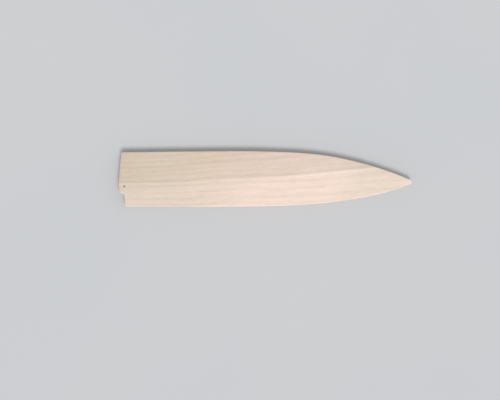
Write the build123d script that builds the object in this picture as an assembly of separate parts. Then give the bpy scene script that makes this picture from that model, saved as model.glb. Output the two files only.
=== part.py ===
from build123d import *
import math
import os

# A wooden blade guard for a 270 mm chef's knife. Two cheek boards are glued to the two sides of a
# pair of strips, which leave the slot for the blade between them. A tapered peg crosses the slot
# just behind the heel of the blade. Sizes are millimetres and degrees.
# +X runs from the mouth to the nose, +Y towards the spine of the blade, +Z up through the boards.
# The origin is the middle of the underside. The guard lies on its back cheek.

# Overall sizes
guard_length = 294.0
guard_width = 56.0
cheek_thickness = 3.8
slot_thickness = 4.4

# Width of each strip between the slot and the outside
spine_wall = 4.2
edge_wall = 4.4

# The long sides. Each is straight from the mouth to its first station and curves from there to the
# nose. A station is a share of the length, counted from the mouth, and a height there is a share of
# half the width, counted from the middle line.
station_shares = (0.28, 0.40, 0.55, 0.70, 0.83, 0.93)
spine_height_shares = (0.99, 1, 0.971, 0.851, 0.569, 0.242)
edge_height_shares = (0.999, 0.995, 0.965, 0.868, 0.671, 0.426)
spine_straight_angle = 0.7
edge_straight_angle = 0.3
spine_nose_angle = 26.0
edge_nose_angle = 27.0

# Nose
nose_radius = 2.0
nose_drop = 2.9

# Mouth: a shallow point, with a step below it that leaves room for the heel of the blade. The step
# has a short level ledge between a rounded corner and a hollow inner corner.
mouth_point_drop = 4.6
mouth_point_round = 4.0
upper_mouth_rake = 5.0
lower_mouth_rake = 5.9
step_rise = 13.9
step_ledge = 0.2
step_corner_round = 1.3
step_inner_round = 3.5

# Other rounding
corner_round = 1.6
edge_round = 1.2
lead_in = 0.9

# Scarf joint between the strips, from the end of the slot out through the nose
scarf_angle = 10.0

# Tapered peg and its hole
peg_front_diameter = 2.0
peg_back_diameter = 1.6
peg_from_mouth = 5.9
peg_drop = 7.45
peg_proud = 0.9
peg_recess = 0.3
peg_dome = 0.6
peg_end_chamfer = 0.2
peg_clearance = 0.04

# How far a cutting shape runs past what it cuts
overrun = 12.0

# Places that follow from the sizes
half_length = guard_length / 2
half_width = guard_width / 2
front_cheek_base = cheek_thickness + slot_thickness
guard_thickness = front_cheek_base + cheek_thickness
behind, ahead = -half_length - overrun, half_length + overrun
below, above = -half_width - overrun, half_width + overrun
nose_centre = Vector(half_length - nose_radius, -nose_drop)


def long_side(up, height_shares, straight_angle, nose_angle, inset):
    """One long side, moved inwards by inset. up is 1 for the spine side and -1 for the edge side."""
    rise, fall = math.radians(straight_angle), math.radians(nose_angle)
    start_direction = Vector(math.cos(rise), up * math.sin(rise))
    end_direction = Vector(math.cos(fall), -up * math.sin(fall))
    outward = Vector(math.sin(fall), up * math.cos(fall))
    stations = []
    for station_share, height_share in zip(station_shares, height_shares):
        along = station_share * guard_length - half_length
        stations.append(Vector(along, up * (height_share * half_width - inset)))
    first = stations[0]
    start = first - start_direction * ((first.X - behind) / start_direction.X)
    end = nose_centre + outward * (nose_radius - inset)
    return [Line(start, first), Spline(*stations, end, tangents=[start_direction, end_direction])]


def spine_side(inset=0.0):
    return long_side(1, spine_height_shares, spine_straight_angle, spine_nose_angle, inset)


def edge_side(inset=0.0):
    return long_side(-1, edge_height_shares, edge_straight_angle, edge_nose_angle, inset)


def closed_face(curves, *corners):
    """The flat face inside curves laid end to end and closed through these corner points."""
    return make_face([*curves, Polyline(curves[-1] @ 1, *corners, curves[0] @ 0)])


def right_of_mouth():
    """Everything from the mouth onwards. Its left border is the shape of the mouth."""
    upper_lean = math.tan(math.radians(upper_mouth_rake))
    lower_lean = math.tan(math.radians(lower_mouth_rake))
    quarter_turn = math.pi / 2
    round_reach = math.tan((quarter_turn - math.radians(lower_mouth_rake)) / 2)
    ledge = step_ledge + (step_corner_round + step_inner_round) * round_reach
    point = Vector(-half_length, -mouth_point_drop)
    step_height = step_rise - half_width
    mouth_top = Vector(point.X + (above - point.Y) * upper_lean, above)
    step_corner = Vector(point.X + (point.Y - step_height) * lower_lean, step_height)
    step_inner = Vector(step_corner.X + ledge, step_height)
    mouth_bottom = Vector(step_inner.X + (step_height - below) * lower_lean, below)
    radii = [mouth_point_round, step_corner_round, step_inner_round]
    border = FilletPolyline(mouth_top, point, step_corner, step_inner, mouth_bottom, radius=radii)
    return closed_face([border], (ahead, below), (ahead, above))


def outline():
    """The outside shape, seen from above."""
    spine, edge = spine_side(), edge_side()
    nose = ThreePointArc(spine[-1] @ 1, nose_centre + Vector(nose_radius, 0), edge[-1] @ 1)
    shape = make_face([*spine, nose, *edge, Line(edge[0] @ 0, spine[0] @ 0)]) & right_of_mouth()
    straight_middle = station_shares[0] * guard_length / 2 - half_length
    at_mouth = shape.vertices().filter_by_position(Axis.X, behind, straight_middle).sort_by(Axis.Y)
    return fillet([at_mouth[0], at_mouth[-1]], corner_round)


def slot():
    """The room for the blade, seen from above. It runs out past the mouth."""
    spine, edge = spine_side(spine_wall), edge_side(edge_wall)
    under_spine = closed_face(spine, ((spine[-1] @ 1).X, below), (behind, below))
    over_edge = closed_face(edge, ((edge[-1] @ 1).X, above), (behind, above))
    return under_spine & over_edge


def below_scarf():
    """Everything on the edge strip's side of the joint between the strips, seen from above."""
    slot_end = slot().vertices().sort_by(Axis.X)[-1].center()
    scarf_fall = (ahead - slot_end.X) * math.tan(math.radians(scarf_angle))
    joint = Polyline((behind, slot_end.Y), (slot_end.X, slot_end.Y), (ahead, slot_end.Y - scarf_fall))
    return closed_face([joint], (ahead, below), (behind, below))


def board(shape, base, thickness):
    """A board of this shape and thickness, with its underside at the height base."""
    return extrude(Pos(0, 0, base) * shape, thickness)


def mouth_flare(inner_height, away):
    """The wedge taken off a cheek's inner edge at the mouth. away is 1 for the front cheek, -1 for the back."""
    before_mouth = Pos(0, 0, inner_height + away * lead_in) * (slot() - outline())
    return extrude(before_mouth, lead_in * math.sqrt(2), dir=(1, 0, -away))


def tapered_round(low, high, clearance):
    """The part of the peg's taper between two heights, with this much clearance round it."""
    growth = (peg_front_diameter - peg_back_diameter) / guard_thickness
    low_radius = (peg_back_diameter + growth * low) / 2 + clearance
    high_radius = (peg_back_diameter + growth * high) / 2 + clearance
    middle = Pos(peg_from_mouth - half_length, -peg_drop, (low + high) / 2)
    return middle * Cone(low_radius, high_radius, high - low)


def peg_hole():
    return tapered_round(-overrun, guard_thickness + overrun, peg_clearance)


def cheek(base, outer_face, flare):
    """One cheek, rounded off all round its outer face, flared at the mouth and bored for the peg."""
    blank = board(outline(), base, cheek_thickness)
    rounded = fillet(blank.faces().sort_by(Axis.Z)[outer_face].edges(), edge_round)
    return rounded - flare - peg_hole()


def front_cheek():
    return cheek(front_cheek_base, -1, mouth_flare(front_cheek_base, 1))


def back_cheek():
    return cheek(0, 0, mouth_flare(cheek_thickness, -1))


def spine_strip():
    return board(outline() - slot() - below_scarf(), cheek_thickness, slot_thickness)


def edge_strip():
    return board((outline() - slot()) & below_scarf(), cheek_thickness, slot_thickness)


def retaining_peg():
    """The tapered peg, domed where it stands proud of the front cheek and eased at its small end."""
    taper = tapered_round(peg_recess, guard_thickness + peg_proud, 0)
    domed = fillet(taper.faces().sort_by(Axis.Z)[-1].edges(), peg_dome)
    return chamfer(domed.faces().sort_by(Axis.Z)[0].edges(), peg_end_chamfer)


sub_parts = {
    "front_cheek": front_cheek,
    "back_cheek": back_cheek,
    "spine_strip": spine_strip,
    "edge_strip": edge_strip,
    "retaining_peg": retaining_peg,
}

os.makedirs("parts", exist_ok=True)
for node, make in sub_parts.items():
    export_step(make(), f"parts/{node}.step")
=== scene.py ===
import math

import bpy
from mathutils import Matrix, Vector


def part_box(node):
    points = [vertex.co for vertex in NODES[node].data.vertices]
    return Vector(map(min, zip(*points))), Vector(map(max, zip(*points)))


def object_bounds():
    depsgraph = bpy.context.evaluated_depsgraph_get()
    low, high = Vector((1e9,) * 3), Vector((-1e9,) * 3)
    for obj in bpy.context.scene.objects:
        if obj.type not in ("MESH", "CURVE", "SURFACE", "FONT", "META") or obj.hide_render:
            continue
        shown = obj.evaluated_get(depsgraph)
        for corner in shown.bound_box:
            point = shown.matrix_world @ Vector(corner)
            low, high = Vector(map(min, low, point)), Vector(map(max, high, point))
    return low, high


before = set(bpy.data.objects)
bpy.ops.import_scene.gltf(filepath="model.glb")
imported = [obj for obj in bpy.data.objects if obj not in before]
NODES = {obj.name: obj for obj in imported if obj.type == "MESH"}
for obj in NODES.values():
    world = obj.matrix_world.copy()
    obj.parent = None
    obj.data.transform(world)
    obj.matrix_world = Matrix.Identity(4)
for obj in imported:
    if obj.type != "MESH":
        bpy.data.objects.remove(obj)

CAD_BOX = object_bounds()

# Blender's lengths are metres. Materials count in millimetres of the guard's own space.
MM = 0.001
PER_MM = 1 / MM

# Places on the guard. A box is a lowest and a highest corner.
LOW, HIGH = 0, 1
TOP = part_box("front_cheek")[HIGH].z
FRONT_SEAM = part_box("front_cheek")[LOW].z * PER_MM
BACK_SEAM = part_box("back_cheek")[HIGH].z * PER_MM

# Where the joint between the strips comes out at the nose: as far along the guard as the edge strip
# reaches, and as far down across it as the spine strip does
NOSE_JOINT = (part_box("edge_strip")[HIGH].x * PER_MM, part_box("spine_strip")[LOW].y * PER_MM)

# Colours, as linear red, green and blue. A tint multiplies the colour under it.
FRONT_SAPWOOD = (0.955, 0.761, 0.653)
BACK_SAPWOOD = (0.90, 0.735, 0.62)
STRIP_SAPWOOD = (0.88, 0.715, 0.59)
# The mouth and nose tints are partly the wood's own tone and partly painted shade, darker away from a lit
# patch a little right of the middle.
MOUTH_TONE_AND_PAINTED_SHADE = (0.812, 0.864, 0.825)
NOSE_TONE_AND_PAINTED_SHADE = (0.912, 0.953, 0.94)
HEART_TINT = (0.82, 0.83, 0.82)
HEART_MOUTH_TINT = (0.82, 0.805, 0.775)
RING_TINT = (0.86, 0.845, 0.805)
BRIGHT_BAND = (1.0, 0.86, 0.78)
FIBRE_TINT = (0.93, 0.91, 0.885)
PORE_TINT = (0.62, 0.53, 0.45)
CLOUD_TINT = (0.955, 0.955, 0.95)
END_GRAIN_TINT = (0.80, 0.75, 0.67)
# The pale edge colour is partly rubbed wood and partly a painted highlight on the rounded edges.
EDGE_RUB_AND_HIGHLIGHT = (0.88, 0.80, 0.75)
GLUE = (0.36, 0.26, 0.17)
PEG_SKIN = (0.41, 0.32, 0.225)
PEG_FIBRE = (0.23, 0.165, 0.105)
FLOOR = (0.58, 0.59, 0.60)
FLOOR_CLOUD = (0.955, 0.761, 0.653)
OPAQUE = 1.0

# The colour sockets of Blender's mix node, and the value that its noise varies around
MIX_FIRST, MIX_SECOND, MIX_RESULT = 6, 7, 2
NOISE_MIDDLE = 0.5


class Signal:
    """A value inside a node tree. Arithmetic on it adds math nodes."""

    def __init__(self, nodes, socket):
        self.nodes = nodes
        self.socket = socket

    def __add__(self, other):
        return self.nodes.math("ADD", self, other)

    def __sub__(self, other):
        return self.nodes.math("SUBTRACT", self, other)

    def __mul__(self, other):
        return self.nodes.math("MULTIPLY", self, other)

    def __truediv__(self, other):
        return self.nodes.math("DIVIDE", self, other)

    def __abs__(self):
        return self.nodes.math("ABSOLUTE", self)

    def ramp(self, low, high, to_low=0.0, to_high=1.0):
        """A smooth step from to_low to to_high as the value goes from low to high."""
        inputs = {"Value": self, "From Min": low, "From Max": high, "To Min": to_low, "To Max": to_high}
        return self.nodes.add("ShaderNodeMapRange", inputs, interpolation_type="SMOOTHSTEP")


class Nodes:
    """Adds nodes to a node tree. An input is a Signal, or a value for the socket itself."""

    def __init__(self, tree):
        self.tree = tree

    def feed(self, socket, value):
        if isinstance(value, Signal):
            self.tree.links.new(value.socket, socket)
        else:
            socket.default_value = value

    def node(self, kind, inputs=(), **settings):
        node = self.tree.nodes.new(kind)
        for name, value in settings.items():
            setattr(node, name, value)
        for key, value in dict(inputs).items():
            self.feed(node.inputs[key], value)
        return node

    def add(self, kind, inputs=(), output=0, **settings):
        """Adds a node and gives back one of its outputs."""
        return Signal(self, self.node(kind, inputs, **settings).outputs[output])

    def math(self, operation, *values):
        return self.add("ShaderNodeMath", enumerate(values), operation=operation)


class Surface(Nodes):
    """A material with its node tree. Places in it are millimetres."""

    def __init__(self, name):
        self.material = bpy.data.materials.new(name)
        self.material.use_nodes = True
        super().__init__(self.material.node_tree)
        self.shader = self.tree.nodes["Principled BSDF"]

    def position(self, offset=(0, 0, 0)):
        """The place on the object, moved by an offset."""
        place = self.add("ShaderNodeTexCoord", output="Object")
        inputs = {0: place, 1: (PER_MM, PER_MM, PER_MM), 2: offset}
        return self.add("ShaderNodeVectorMath", inputs, operation="MULTIPLY_ADD")

    def split(self, vector):
        """The x, y and z of a vector."""
        parts = self.node("ShaderNodeSeparateXYZ", {0: vector}).outputs
        return [Signal(self, part) for part in parts]

    def noise(self, vector, scales, detail=2.0, roughness=0.5):
        """Soft noise. Its features are about one over scales long, along x, y and z."""
        stretched = self.add("ShaderNodeVectorMath", {0: vector, 1: scales}, operation="MULTIPLY")
        inputs = {"Vector": stretched, "Scale": 1.0, "Detail": detail, "Roughness": roughness}
        return self.add("ShaderNodeTexNoise", inputs)

    def mix(self, share, first, second, blend="MIX"):
        """A colour that goes from the first to the second as share goes from 0 to 1."""
        node = self.node("ShaderNodeMix", {0: share}, data_type="RGBA", blend_type=blend)
        for key, colour in ((MIX_FIRST, first), (MIX_SECOND, second)):
            self.feed(node.inputs[key], (*colour, OPAQUE) if isinstance(colour, tuple) else colour)
        return Signal(self, node.outputs[MIX_RESULT])

    def tint(self, share, base, colour):
        return self.mix(share, base, colour, "MULTIPLY")

    def shade(self, colour, roughness, specular):
        inputs = {"Base Color": colour, "Roughness": roughness, "Specular IOR Level": specular}
        for key, value in inputs.items():
            self.feed(self.shader.inputs[key], value)

    def bump(self, relief, depth):
        """Fine relief. relief is the surface's height as a share of depth, which is in metres."""
        surface = self.add("ShaderNodeBump", {"Height": relief, "Distance": depth})
        self.feed(self.shader.inputs["Normal"], surface)


# The plank that the boards are sawn from. Its darker heartwood starts at the main line, which crosses the
# front face in a long curve from the mouth to the spine side. The line and the growth rings bulge towards
# the spine side left of the middle, and lean as they go down through the plank. The rings' spacing grows
# along the guard, and would double from its middle over SPREAD_LENGTH.
LINE_AT_MIDDLE, LINE_SLOPE, LINE_CURVE = 1.55, 0.0687, 0.000198
BULGE_START, BULGE_PEAK, BULGE_END = -95.0, -35.0, 20.0
LINE_BULGE, RING_BULGE = 0.6, 1.0
LEAN = 0.85
WANDER_NOISE = {"scales": (0.014, 0.07, 0.07), "detail": 4.0}
WANDER_BY_DISTANCE = (0.0, 10.0, 1.2, 3.2)
FIRST_RING = 1.5
SPACING_ABOVE, SPACING_BELOW = 5.7, 7.0
SPREAD_LENGTH = 700.0
UNEVEN_NOISE, UNEVENNESS = {"scales": (0.010, 0.10, 0.10)}, 0.5
RING_LINE_PHASE = 0.5
RING_SEED = 560

# The layers of a board's colour. A ramp is from, to, strength before and strength after, which are 0 and 1
# where they aren't given. Ramps along the guard count from its middle, ramps above from the main line.
# The mouth and nose ramps darken the plank towards both ends: partly the wood's tone, partly painted shade.
MOUTH_TONE_AND_PAINTED_SHADE_ALONG = (-150.0, 47.0, 1.0, 0.0)
NOSE_TONE_AND_PAINTED_SHADE_ALONG = (50.0, 110.0)
HEART_ABOVE = (-1.2, 1.6)
HEART_ALONG, HEART_DEEPENS_ALONG = (-120.0, 10.0, 0.38, 0.60), (20.0, 100.0, 0.0, 0.15)
HEART_TONE_ALONG = (-60.0, 30.0)
LINE_SHADE_ABOVE = (-16.0, -2.0, 0.0, 0.20)
SPINE_SHADE_ABOVE, SPINE_SHADE_ALONG = (5.0, 22.0), (-40.0, 20.0, 0.10, 0.0)
RING_DARKENS, RING_CLEARS = (0.18, 0.47), (0.53, 0.90, 1.0, 0.0)
RING_STRENGTH, RING_DIFFERS = 0.43, (0.0, 1.0, 0.3, 1.0)
HEART_RINGS_FADE_ALONG = (20.0, 90.0, 0.0, 0.5)
RING_BREAK_NOISE = {"scales": (0.02, 0.2, 0.2), "detail": 3.0}
RING_BREAKS = (0.3, 0.6, 0.6, 1.0)
LINE_DARKENS, LINE_CLEARS = (-0.4, 1.4), (1.5, 3.6, 1.0, 0.0)
LINE_ALONG = (-150.0, 20.0, 0.08, 0.13)
BAND_STARTS, BAND_ENDS = (-4.0, -1.6), (-1.2, 0.3, 1.0, 0.0)
BAND_ALONG, BAND_FADES_ALONG = (-20.0, 30.0, 0.05, 0.26), (70.0, 105.0, 1.0, 0.3)
STREAK_NOISE = {"scales": (0.016, 0.6, 0.6), "detail": 4.0, "roughness": 0.55}
STREAKS = (0.35, 0.68, 0.0, 0.45)
FIBRE_NOISE = {"scales": (0.11, 3.2, 3.2), "detail": 3.0, "roughness": 0.6}
FIBRES = (0.4, 0.75, 0.0, 0.8)
PORE_NOISE = {"scales": (0.30, 8.0, 8.0), "detail": 1.0}
PORES, PORE_STRENGTH = (0.66, 0.76), 0.45
CLOUD_NOISE, CLOUDS = {"scales": (0.018, 0.07, 0.07)}, (0.35, 0.65)
FLECK_NOISE, FLECKS = {"scales": (0.13, 0.42, 0.42)}, (0.45, 0.7)
# The mouth's last few millimetres are darkened: painted shade.
MOUTH_END_PAINTED_SHADE_ALONG = (-146.0, -141.0, 0.25, 0.0)
END_FACING, END_STRENGTH, END_RINGS = (0.55, 0.95), 0.8, 1.3
EDGE_LEAVES_SIDE, EDGE_MEETS_FACE = (0.08, 0.35), (0.88, 0.995, 1.0, 0.0)
# Breaks up the paler rounded edges, which are partly rubbed and partly a painted highlight.
EDGE_PALING_NOISE = {"scales": (0.09, 0.3, 0.3), "detail": 3.0}
EDGE_PALING = (0.3, 0.7, 0.15, 0.50)
GLUE_FADES, GLUE_LEAVES_SIDE = (0.05, 0.16, 1.0, 0.0), (0.2, 0.5, 1.0, 0.0)
GLUE_BREAK_NOISE = {"scales": (0.05, 0.05, 0.05), "detail": 3.0}
GLUE_BREAKS = (0.35, 0.65, 0.45, 0.9)

# A board's gloss and relief
FIBRE_ROUGHNESS = (0.3, 0.7, 0.54, 0.68)
END_ROUGHER, EDGE_SMOOTHER = 0.12, 0.10
WOOD_SPECULAR = 0.35
WOOD_RELIEF, PORE_DEPTH = 0.04 * MM, 0.8


class Board(Surface):
    """One board's wood: planed and sanded magnolia. offset moves the board through the plank."""

    def __init__(self, name, offset):
        super().__init__(name)
        self.x, self.y, self.height = self.split(self.position())
        self.place = self.position(offset)
        self.along, self.across, self.depth = self.split(self.place)
        rise = self.along.ramp(BULGE_START, BULGE_PEAK)
        fall = self.along.ramp(BULGE_PEAK, BULGE_END, 1.0, 0.0)
        self.bulge = rise * fall
        self.above = self.above_line()
        self.heart = self.above.ramp(*HEART_ABOVE)
        self.grain = self.add("ShaderNodeCombineXYZ", {0: self.along, 1: self.above, 2: self.depth})
        self.fibres = self.noise(self.grain, **FIBRE_NOISE)
        self.pores = self.noise(self.grain, **PORE_NOISE).ramp(*PORES)
        # How far the surface is end grain, a rounded edge or an upright side, from the way it faces
        x_facing, _, z_facing = self.split(self.add("ShaderNodeNewGeometry", output="Normal"))
        tilt = abs(z_facing)
        self.end = abs(x_facing).ramp(*END_FACING)
        self.edge = tilt.ramp(*EDGE_LEAVES_SIDE) * tilt.ramp(*EDGE_MEETS_FACE)
        self.side = tilt.ramp(*GLUE_LEAVES_SIDE)

    def above_line(self):
        """How far a point is above the main line, across the growth rings."""
        line = (self.along * LINE_CURVE + LINE_SLOPE) * self.along + LINE_AT_MIDDLE
        lean = (self.depth - TOP * PER_MM) * LEAN
        above = self.across - line - self.bulge * LINE_BULGE + lean
        wander = self.noise(self.place, **WANDER_NOISE) - NOISE_MIDDLE
        return above + wander * abs(above).ramp(*WANDER_BY_DISTANCE)

    def ring_count(self):
        """A count that grows by one from ring to ring. A ring's line is at its halves."""
        from_first = self.above - FIRST_RING - self.bulge * RING_BULGE
        higher = self.math("MAXIMUM", from_first, 0.0) * (1.0 / SPACING_ABOVE)
        lower = self.math("MINIMUM", from_first, 0.0) * (1.0 / SPACING_BELOW)
        spread = self.along * (1.0 / SPREAD_LENGTH) + 1.0
        uneven = self.noise(self.place, **UNEVEN_NOISE) - NOISE_MIDDLE
        return (higher + lower) / spread + uneven * UNEVENNESS + RING_LINE_PHASE

    def plank(self, sapwood):
        """The plank's plain colour, browner towards the mouth and greyer towards the nose. Both ends darken
        away from a patch a little right of the middle: partly the wood's own tone, partly painted shade.
        """
        base = self.tint(self.x.ramp(*MOUTH_TONE_AND_PAINTED_SHADE_ALONG), sapwood, MOUTH_TONE_AND_PAINTED_SHADE)
        return self.tint(self.x.ramp(*NOSE_TONE_AND_PAINTED_SHADE_ALONG), base, NOSE_TONE_AND_PAINTED_SHADE)

    def heartwood(self, base, strength):
        """Darker wood above the main line, with a shade that fades away below it."""
        spine_shade = self.above.ramp(*SPINE_SHADE_ABOVE) * self.x.ramp(*SPINE_SHADE_ALONG)
        line_shade = self.above.ramp(*LINE_SHADE_ABOVE)
        heart = self.x.ramp(*HEART_ALONG) + self.x.ramp(*HEART_DEEPENS_ALONG)
        shade = self.heart * heart + line_shade + spine_shade
        colour = self.mix(self.x.ramp(*HEART_TONE_ALONG), HEART_MOUTH_TINT, HEART_TINT)
        return self.tint(shade * strength, base, colour)

    def rings(self, base):
        """Growth rings: broken dark lines, each of its own strength, a little sharper on the edge side.
        They are stronger on end grain, and weaker in the heartwood towards the nose."""
        count = self.ring_count()
        phase = self.math("FRACT", count)
        number = self.math("FLOOR", count) + RING_SEED
        differs = self.add("ShaderNodeTexWhiteNoise", {"W": number}, noise_dimensions="1D")
        line = phase.ramp(*RING_DARKENS) * phase.ramp(*RING_CLEARS)
        broken = self.noise(self.grain, **RING_BREAK_NOISE).ramp(*RING_BREAKS)
        fading = self.heart * self.x.ramp(*HEART_RINGS_FADE_ALONG)
        strength = (self.end * END_RINGS - fading + 1.0) * RING_STRENGTH
        return self.tint(line * differs.ramp(*RING_DIFFERS) * broken * strength, base, RING_TINT)

    def main_line(self, base):
        """The main line itself, dark above and bright below."""
        dark = self.above.ramp(*LINE_DARKENS) * self.above.ramp(*LINE_CLEARS)
        base = self.tint(dark * self.x.ramp(*LINE_ALONG), base, RING_TINT)
        bright = self.above.ramp(*BAND_STARTS) * self.above.ramp(*BAND_ENDS)
        bright = bright * self.x.ramp(*BAND_ALONG) * self.x.ramp(*BAND_FADES_ALONG)
        return self.mix(bright, base, BRIGHT_BAND)

    def fine_grain(self, base):
        """Streaks, fibres and pores, long along the grain, so that they are dots on the boards' ends."""
        streaks = self.noise(self.grain, **STREAK_NOISE)
        base = self.tint(streaks.ramp(*STREAKS), base, FIBRE_TINT)
        base = self.tint(self.fibres.ramp(*FIBRES), base, FIBRE_TINT)
        return self.tint(self.pores * PORE_STRENGTH, base, PORE_TINT)

    def clouds(self, base):
        """Cloudy unevenness, and small flecks."""
        base = self.tint(self.noise(self.place, **CLOUD_NOISE).ramp(*CLOUDS), base, CLOUD_TINT)
        return self.tint(self.noise(self.grain, **FLECK_NOISE).ramp(*FLECKS), base, CLOUD_TINT)

    def wear_and_painted_light(self, base):
        """The mouth's last few millimetres are darker, a painted shade; end grain is darker; and the
        rounded edges are paler, partly rubbed and partly a painted highlight.
        """
        # Painted shade on the mouth's end.
        base = self.tint(self.x.ramp(*MOUTH_END_PAINTED_SHADE_ALONG), base, HEART_TINT)
        base = self.tint(self.end * END_STRENGTH, base, END_GRAIN_TINT)
        # Paler rounded edges: partly rubbed, partly painted highlight.
        rubbed_and_highlit = self.noise(self.place, **EDGE_PALING_NOISE).ramp(*EDGE_PALING)
        return self.mix(self.edge * rubbed_and_highlit, base, EDGE_RUB_AND_HIGHLIGHT)

    def glue_lines(self, base, seams, joint):
        """Thin broken lines of glue on the sides: level ones at the heights in seams, and an upright one
        at joint, if the board has such a joint."""
        distances = [abs(self.height - seam) for seam in seams]
        if joint:
            along, across = self.x - joint[0], self.y - joint[1]
            distances.append(self.math("SQRT", along * along + across * across))
        broken = self.noise(self.place, **GLUE_BREAK_NOISE).ramp(*GLUE_BREAKS)
        for distance in distances:
            line = distance.ramp(*GLUE_FADES) * self.side
            base = self.mix(line * broken, base, GLUE)
        return base


def wood(name, offset, sapwood, heart_strength, seams, joint):
    board = Board(name, offset)
    base = board.plank(sapwood)
    base = board.heartwood(base, heart_strength)
    base = board.rings(base)
    base = board.main_line(base)
    base = board.fine_grain(base)
    base = board.clouds(base)
    base = board.wear_and_painted_light(base)
    base = board.glue_lines(base, seams, joint)
    roughness = board.fibres.ramp(*FIBRE_ROUGHNESS) + board.end * END_ROUGHER - board.edge * EDGE_SMOOTHER
    board.shade(base, roughness, WOOD_SPECULAR)
    board.bump(board.fibres - board.pores * PORE_DEPTH, WOOD_RELIEF)
    return board.material


# The peg is split bamboo. Its fibres run along it, so its ends show them as dots.
BUNDLE_NOISE, BUNDLES = {"scales": (4.0, 4.0, 0.12)}, (0.48, 0.62)
PEG_FIBRE_NOISE = {"scales": (14.0, 14.0, 0.6), "detail": 1.0}
PEG_FIBRES = (0.4, 0.7, 0.0, 0.35)
PEG_ROUGHNESS = (0.3, 0.7, 0.40, 0.52)
PEG_RELIEF = 0.03 * MM
PEG_SPECULAR = 0.5


def bamboo(name):
    peg = Surface(name)
    place = peg.position()
    bundles = peg.noise(place, **BUNDLE_NOISE)
    fine = peg.noise(place, **PEG_FIBRE_NOISE)
    base = peg.mix(bundles.ramp(*BUNDLES), PEG_SKIN, PEG_FIBRE)
    base = peg.mix(fine.ramp(*PEG_FIBRES), base, PEG_FIBRE)
    peg.shade(base, fine.ramp(*PEG_ROUGHNESS), PEG_SPECULAR)
    peg.bump(bundles, PEG_RELIEF)
    return peg.material


# Each board's offset in the plank, its sapwood, how strongly its heartwood shows, the heights of its glued
# seams, and the upright joint that it shares
BOTH_SEAMS = (BACK_SEAM, FRONT_SEAM)
BOARDS = {
    "front_cheek": ((0.0, 0.0, 0.0), FRONT_SAPWOOD, 1.0, (FRONT_SEAM,), None),
    "back_cheek": ((31.0, -6.0, 3.0), BACK_SAPWOOD, 0.8, (BACK_SEAM,), None),
    "spine_strip": ((-57.0, 9.0, 7.0), STRIP_SAPWOOD, 0.6, BOTH_SEAMS, NOSE_JOINT),
    "edge_strip": ((83.0, -17.0, 5.0), STRIP_SAPWOOD, 0.6, BOTH_SEAMS, NOSE_JOINT),
}


def dress(node, material):
    """Gives a CAD node a material in place of its plain one."""
    mesh = NODES[node].data
    mesh.materials.clear()
    mesh.materials.append(material)


for node, board in BOARDS.items():
    dress(node, wood(f"{node}_wood", *board))
dress("retaining_peg", bamboo("peg_bamboo"))


def add_object(name, data):
    new = bpy.data.objects.new(name, data)
    bpy.context.scene.collection.objects.link(new)
    return new


# Stage: a wide pale paper floor under the guard, which at its far edges meets a backdrop of the same colour
FLOOR_HALF = 4.0
FLOOR_CLOUD_NOISE, FLOOR_CLOUDS = {"scales": (0.004, 0.004, 0.004)}, (0.3, 0.7, 0.0, 0.04)
FLOOR_ROUGHNESS, FLOOR_SPECULAR = 0.9, 0.1


def floor_paper():
    paper = Surface("floor_paper")
    clouds = paper.noise(paper.position(), **FLOOR_CLOUD_NOISE).ramp(*FLOOR_CLOUDS)
    paper.shade(paper.mix(clouds, FLOOR, FLOOR_CLOUD), FLOOR_ROUGHNESS, FLOOR_SPECULAR)
    return paper.material


def add_floor():
    signs = [(-1, -1), (1, -1), (1, 1), (-1, 1)]
    corners = [(a * FLOOR_HALF, b * FLOOR_HALF, CAD_BOX[LOW][2]) for a, b in signs]
    mesh = bpy.data.meshes.new("floor")
    mesh.from_pydata(corners, [], [(0, 1, 2, 3)])
    mesh.materials.append(floor_paper())
    add_object("floor", mesh)


# Light: an even pale world, and one soft lamp from the edge side. To the camera and in reflections the
# world is a backdrop, as bright as the lit floor.
SKY, SKY_STRENGTH = (0.95, 0.97, 1.0), 0.57
BACKDROP_STRENGTH = 1.045
LAMP_FROM, LAMP_STRENGTH, LAMP_SPREAD_DEGREES = (0.14, -0.40, 0.95), 1.7, 22.0


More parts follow.
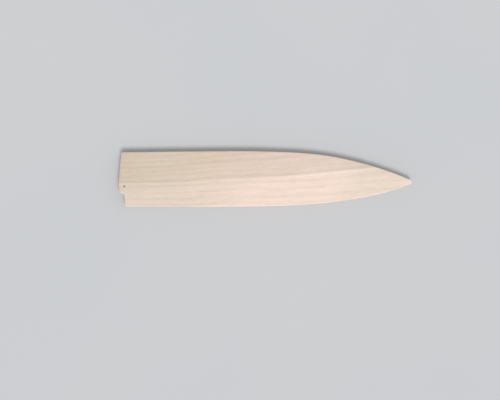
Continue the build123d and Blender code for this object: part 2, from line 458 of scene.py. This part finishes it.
def add_world():
    world = bpy.data.worlds.new("studio")
    world.use_nodes = True
    nodes = Nodes(world.node_tree)
    shades = []
    for colour, strength in ((SKY, SKY_STRENGTH), (FLOOR, BACKDROP_STRENGTH)):
        inputs = {"Color": (*colour, OPAQUE), "Strength": strength}
        shades.append(nodes.add("ShaderNodeBackground", inputs))
    rays = nodes.node("ShaderNodeLightPath").outputs
    seen = Signal(nodes, rays["Is Camera Ray"])
    for kind in ("Is Glossy Ray", "Is Transmission Ray"):
        seen = nodes.math("MAXIMUM", seen, Signal(nodes, rays[kind]))
    chosen = nodes.add("ShaderNodeMixShader", {0: seen, 1: shades[0], 2: shades[1]})
    nodes.feed(world.node_tree.nodes["World Output"].inputs["Surface"], chosen)
    bpy.context.scene.world = world


def add_lamp():
    data = bpy.data.lights.new("key", "SUN")
    data.energy = LAMP_STRENGTH
    data.angle = math.radians(LAMP_SPREAD_DEGREES)
    lamp = add_object("key", data)
    lamp.location = LAMP_FROM
    lamp.rotation_euler = (-Vector(LAMP_FROM)).to_track_quat("-Z", "Y").to_euler()


# Camera: straight above, as the photograph was taken. One pixel of its 500 by 400 is one millimetre
# on the guard, and the guard's middle is right of and above the middle of the picture.
PIXEL = MM
PHOTO_WIDTH_PX = 500
PHOTO_MIDDLE_PX = (250.0, 200.0)
GUARD_MIDDLE_PX = (265.29, 178.99)
LENS_MM, SENSOR_MM = 85.0, 36.0


def add_camera():
    data = bpy.data.cameras.new("camera")
    data.lens = LENS_MM
    data.sensor_width = SENSOR_MM
    camera = add_object("camera", data)
    x = (PHOTO_MIDDLE_PX[0] - GUARD_MIDDLE_PX[0]) * PIXEL
    y = (GUARD_MIDDLE_PX[1] - PHOTO_MIDDLE_PX[1]) * PIXEL
    distance = PHOTO_WIDTH_PX * PIXEL * LENS_MM / SENSOR_MM
    camera.location = (x, y, TOP + distance)
    bpy.context.scene.camera = camera


add_floor()
add_world()
add_lamp()
add_camera()
bpy.context.scene.view_settings.view_transform = "Standard"
